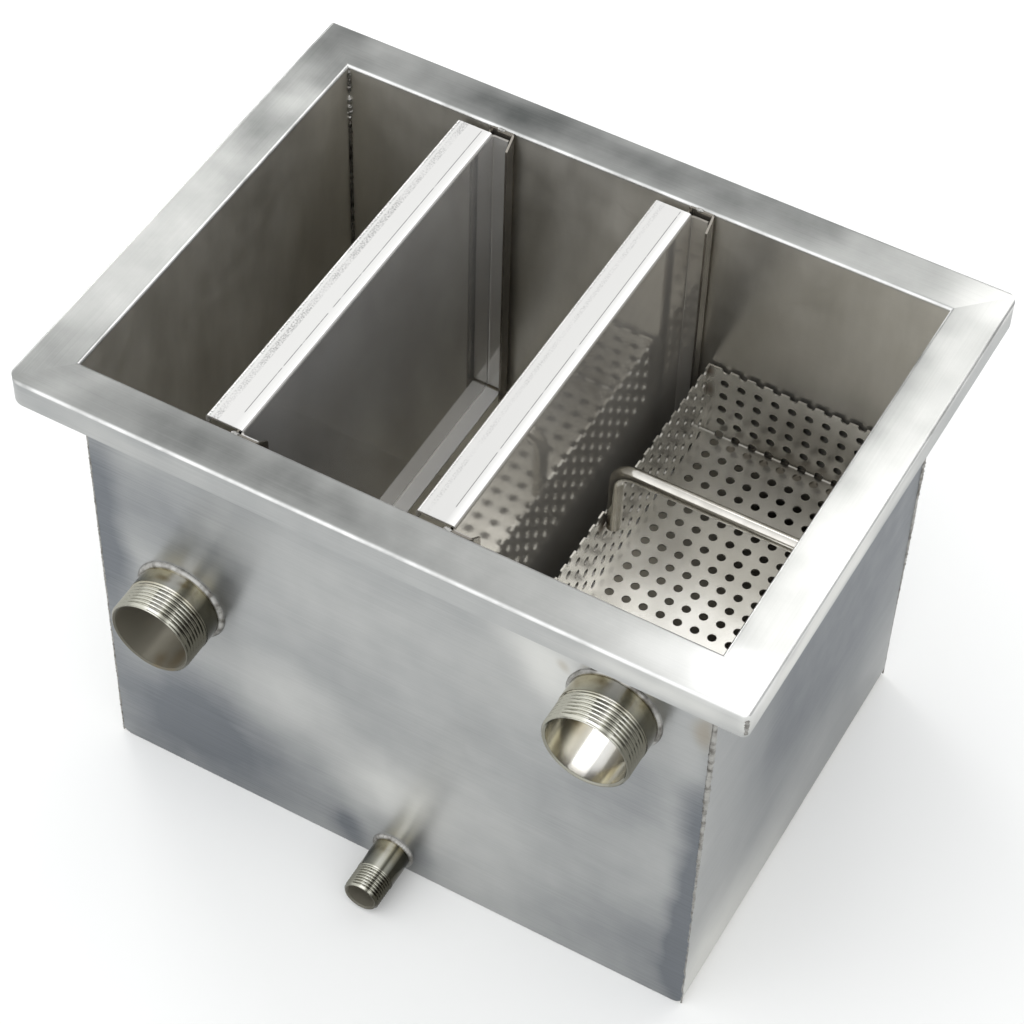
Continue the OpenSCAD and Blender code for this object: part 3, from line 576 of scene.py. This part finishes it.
def ringBead(kind, bead):
    low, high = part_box(bead["node"])
    pipeLow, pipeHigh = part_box(kind + "_pipe")
    pipeR = (pipeHigh.x - pipeLow.x) / 2
    axis = Vector(((pipeLow.x + pipeHigh.x) / 2, high.y, (pipeLow.z + pipeHigh.z) / 2))
    width = (high.x - low.x) / 2 - pipeR
    sink = beadLook["sink"]
    bpy.ops.object.select_all(action="DESELECT")
    bpy.ops.mesh.primitive_torus_add(major_segments=bead["steps"], minor_segments=beadLook["sides"],
                                     major_radius=pipeR, minor_radius=width,
                                     location=axis, rotation=(math.pi / 2, 0, 0))
    bpy.ops.object.transform_apply()
    ring = bpy.context.object
    for v in ring.data.vertices:
        across = Vector((v.co.x - axis.x, v.co.z - axis.z))
        turn = math.atan2(across.y, across.x)
        out, up = across.length - pipeR, high.y - v.co.y  # from the pipe, from the panel
        ripple = math.sin(turn * pipeR / (beadLook["rippleMm"] * mm) * 2 * math.pi) * beadLook["rippleHeight"]
        spot = Vector((math.cos(turn), math.sin(turn), axis.x)) * pipeR / (beadLook["raggedMm"] * mm)
        size = bead["full"] + (ripple + noise.noise(spot) * beadLook["ragged"]) / width
        out, up = max(out * size, -sink), max(up * size, -sink)
        across *= (pipeR + out) / across.length
        level = max(axis.z + across.y, 0)  # ground flush with the tank's underside
        v.co = Vector((axis.x + across.x, high.y - up, level))
    bpy.ops.object.shade_smooth_by_angle(angle=weldSmooth)
    fitPiece(ring, kind + "_rippled_weld", weldSteel, "weld_metal", bead["node"])


for kind, size in pipes.items():
    threadedPipe(kind, size)
for kind, bead in beads.items():
    ringBead(kind, bead)
print("pipes and ring beads made")

# Weld laid down a corner: a thin rope of weld, thick and lumpy where it was laid slowly
rope = {"sides": 10, "cuts": 22}  # the cuts are made twice, so 23 x 23 lengths
seams = {
    "front_right_seam": {"at": (1, -1), "radius": 1.5 * mm, "lumps": 0.45, "fadeMm": 220, "seed": 3},
    "front_left_seam": {"at": (-1, -1), "radius": 0.9 * mm, "lumps": 0.5, "fadeMm": 0, "seed": 11},
    "back_right_seam": {"at": (1, 1), "radius": 1.3 * mm, "lumps": 0.5, "fadeMm": 120, "seed": 23},
    "back_left_seam": {"at": (-1, 1), "radius": 1.3 * mm, "lumps": 0.5, "fadeMm": 120, "seed": 31}}
seamLook = {
    "low": 1 * mm, "high": 297 * mm, "inset": 0.4 * mm, "hide": 0.1 * mm, "lumpMm": 1.4, "slowMm": 18,
    "slow": 0.3, "wanderMm": 6, "wander": 0.3 * mm, "thinnest": 0.25, "worn": 0.35, "evenlyWorn": 0.75}


def weldRope(centre, low, high, radius):
    bpy.ops.object.select_all(action="DESELECT")
    bpy.ops.mesh.primitive_cylinder_add(vertices=rope["sides"], radius=radius, depth=high - low,
                                        location=(centre[0], centre[1], (low + high) / 2))
    bpy.ops.object.transform_apply()
    weld = bpy.context.object
    for _ in range(2):
        bpy.ops.object.mode_set(mode="EDIT")
        bpy.ops.mesh.select_mode(type="EDGE")
        bpy.ops.mesh.select_all(action="DESELECT")
        bpy.ops.object.mode_set(mode="OBJECT")
        for edge in weld.data.edges:
            a, b = (weld.data.vertices[i].co for i in edge.vertices)
            edge.select = abs(a.z - b.z) > 10 * hair
        bpy.ops.object.mode_set(mode="EDIT")
        bpy.ops.mesh.subdivide(number_cuts=rope["cuts"])
        bpy.ops.object.mode_set(mode="OBJECT")
    return weld


def cornerSeam(name, seam):
    look, seed = seamLook, seam["seed"]
    sideX, sideY = seam["at"]
    centre = (sideX * (tank["halfX"] - look["inset"]), sideY * (tank["halfY"] - look["inset"]))
    innerX, innerY = (tank[k] - tank["sheet"] + look["hide"] for k in ("halfX", "halfY"))
    weld = weldRope(centre, look["low"], look["high"], seam["radius"])
    for v in weld.data.vertices:
        away = Vector((v.co.x - centre[0], v.co.y - centre[1]))
        height = v.co.z / mm
        lump = noise.noise(Vector((height / look["lumpMm"], seed, 0))) * seam["lumps"]
        slow = noise.noise(Vector((height / look["slowMm"], seed, 7))) * look["slow"]
        wander = noise.noise(Vector((height / look["wanderMm"], seed, 13))) * look["wander"]
        wear = min(1, max(look["worn"], height / seam["fadeMm"])) if seam["fadeMm"] else look["evenlyWorn"]
        away *= max(look["thinnest"], 1 + lump + slow) * wear
        v.co.x = centre[0] + away.x + wander * sideX
        v.co.y = centre[1] + away.y + wander * -sideY
        if sideX * v.co.x < innerX and sideY * v.co.y < innerY:  # nothing shows inside the tank
            v.co.x = sideX * innerX
    bpy.ops.object.shade_smooth_by_angle(angle=weldSmooth)
    fitPiece(weld, name, weldSteel, "weld_metal")


for name, seam in seams.items():
    cornerSeam(name, seam)
print("corner seams made")

# Small tack of weld that holds a guide's web to the wall, at its top
tacks = {
    "outlet_back_tack": {"guide": "outlet_guide_back", "along": 0.45, "seed": 5},
    "inlet_back_tack": {"guide": "inlet_guide_back", "along": 0.4, "seed": 9},
    "outlet_front_tack": {"guide": "outlet_guide_front", "along": 0.1, "seed": 14},
    "inlet_front_tack": {"guide": "inlet_guide_front", "along": 0.1, "seed": 21}}
tackLook = {"size": (2.2 * mm, 1.0 * mm, 0.9 * mm), "fromWall": 0.5 * mm, "sink": 0.1 * mm, "lumpMm": 1.1,
            "ragged": 0.35}


def guideTack(name, tack):
    low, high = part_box(tack["guide"])
    onWall = high.y - tackLook["fromWall"] if low.y > 0 else low.y + tackLook["fromWall"]
    spot = Vector((low.x + (high.x - low.x) * tack["along"], onWall, high.z - tackLook["sink"]))
    bpy.ops.object.select_all(action="DESELECT")
    bpy.ops.mesh.primitive_ico_sphere_add(subdivisions=4, radius=1, location=spot)
    weld = bpy.context.object
    weld.scale = tackLook["size"]
    bpy.ops.object.transform_apply()
    for v in weld.data.vertices:
        lump = noise.noise(v.co / (tackLook["lumpMm"] * mm) + Vector((tack["seed"], 0, 0)))
        v.co = spot + (v.co - spot) * (1 + lump * tackLook["ragged"])
    bpy.ops.object.shade_smooth()
    fitPiece(weld, name, weldSteel, "weld_metal")


for name, tack in tacks.items():
    guideTack(name, tack)

# Short runs of weld inside the back left corner, and one that closes the rim's front right corner
backLeft, rimCorner = (-173.5, 123.5), (198.5, -148.5)
runs = {
    "inside_seam_top": {"at": backLeft, "z": (281, 298.5), "radius": 1.2, "seed": 41, "finish": weldSteel},
    "inside_seam_mid": {"at": backLeft, "z": (262, 280), "radius": 1.5, "seed": 47, "finish": weldSteel},
    "inside_seam_low": {"at": backLeft, "z": (150, 262), "radius": 0.9, "seed": 53, "finish": burntWeld},
    "rim_corner_seam": {"at": rimCorner, "z": (284.5, 297.5), "radius": 1.2, "seed": 61, "finish": weldSteel}}
runLook = {
    "taperMm": 2.5, "tip": 0.2, "lumpMm": 2.9, "lumps": 0.55, "grainMm": 1.1, "grain": 0.4, "thinnest": 0.2,
    "limit": (199.9 * mm, 149.9 * mm)}  # just inside the rim's edge


def cornerRun(name, run):
    look = runLook
    low, high = run["z"]
    centre = [c * mm for c in run["at"]]
    weld = weldRope(centre, low * mm, high * mm, run["radius"] * mm)
    for v in weld.data.vertices:
        height = v.co.z / mm
        fromLow, fromHigh = (d / look["taperMm"] + look["tip"] for d in (height - low, high - height))
        ends = min(1, fromLow, fromHigh)
        lump = noise.noise(Vector((height / look["lumpMm"], run["seed"], 0))) * look["lumps"]
        lump += noise.noise(v.co / (look["grainMm"] * mm)) * look["grain"]
        for axis, limit in enumerate(look["limit"]):
            spread = centre[axis] + (v.co[axis] - centre[axis]) * max(look["thinnest"], 1 + lump) * ends
            v.co[axis] = min(limit, max(-limit, spread))
    bpy.ops.object.shade_smooth_by_angle(angle=weldSmooth)
    fitPiece(weld, name, run["finish"], "weld_metal")


for name, run in runs.items():
    cornerRun(name, run)
print("tacks and short runs made")

# Stage: pale floor, soft world, softboxes, the photograph's camera
stage = {"floorSize": 12, "floorDrop": 0.3 * mm, "floor": "#F2F2F0", "sky": "#FCFDFF",
         "skyStrength": (0.2, 1.75), "brightSide": (-0.3, -0.85, 0.43)}
bpy.ops.mesh.primitive_plane_add(size=stage["floorSize"], location=(0, 0, -stage["floorDrop"]))
floor = bpy.context.object
floor.name = "floor"
floorPaint, tree = newMaterial("matt_white_floor")
shader = addNode(tree, "BsdfDiffuse", {"Color": colour(stage["floor"])})
addNode(tree, "OutputMaterial", {"Surface": shader})
dress(floor, floorPaint)

world = bpy.data.worlds.new("studio")
bpy.context.scene.world = world
world.use_nodes = True
tree = world.node_tree
tree.nodes.clear()
direction = addNode(tree, "TexCoord").outputs["Generated"]
along = addNode(tree, "VectorMath", {0: direction, 1: stage["brightSide"]}, operation="DOT_PRODUCT")
level = addNode(tree, "MapRange", {"Value": along} | mapEnds((-1, 1), stage["skyStrength"]))
sky = addNode(tree, "Background", {"Color": colour(stage["sky"]), "Strength": level})
addNode(tree, "OutputWorld", {"Surface": sky})

softboxes = {
    "back": {"at": (0.31, 1.2, 1.85), "size": (1.5, 0.7), "radiance": 2.2},
    "left": {"at": (-1.31, 0.9, 1.0), "size": (0.6, 0.3), "radiance": 7.0}}
aim = Vector((0, 0, 0.2))
for name, box in softboxes.items():
    lamp = bpy.data.lights.new(name, "AREA")
    lamp.shape = "RECTANGLE"
    lamp.size, lamp.size_y = box["size"]
    lamp.energy = box["radiance"] * math.pi * lamp.size * lamp.size_y
    holder = bpy.data.objects.new(name, lamp)
    bpy.context.scene.collection.objects.link(holder)
    holder.location = box["at"]
    holder.rotation_mode = "QUATERNION"
    holder.rotation_quaternion = (aim - holder.location).to_track_quat("-Z", "Y")

view = {"azimuth": 27.94, "elevation": 50.04, "roll": 1.97, "distance": 1.7211,
        "aside": 0.00244, "above": 0.10648, "lens": 107.49, "sensor": 36}


def photoCamera():
    a, e, r = (math.radians(view[k]) for k in ("azimuth", "elevation", "roll"))
    back = Vector((math.sin(a) * math.cos(e), -math.cos(a) * math.cos(e), math.sin(e)))
    level = (-back).cross(Vector((0, 0, 1))).normalized()
    upright = level.cross(-back)
    right = math.cos(r) * level + math.sin(r) * upright
    up = math.cos(r) * upright - math.sin(r) * level
    data = bpy.data.cameras.new("camera")
    data.sensor_width = view["sensor"]
    data.lens = view["lens"]
    holder = bpy.data.objects.new("camera", data)
    bpy.context.scene.collection.objects.link(holder)
    spot = back * view["distance"] + right * view["aside"] + up * view["above"]
    turn = Matrix((right, up, back)).transposed().to_4x4()
    holder.matrix_world = Matrix.Translation(spot) @ turn
    bpy.context.scene.camera = holder


photoCamera()
bpy.context.scene.cycles.max_bounces = 24  # light finds its way down between the sheets
bpy.context.scene.cycles.glossy_bounces = 20
bpy.context.scene.view_settings.view_transform = "Standard"
print("stage set")
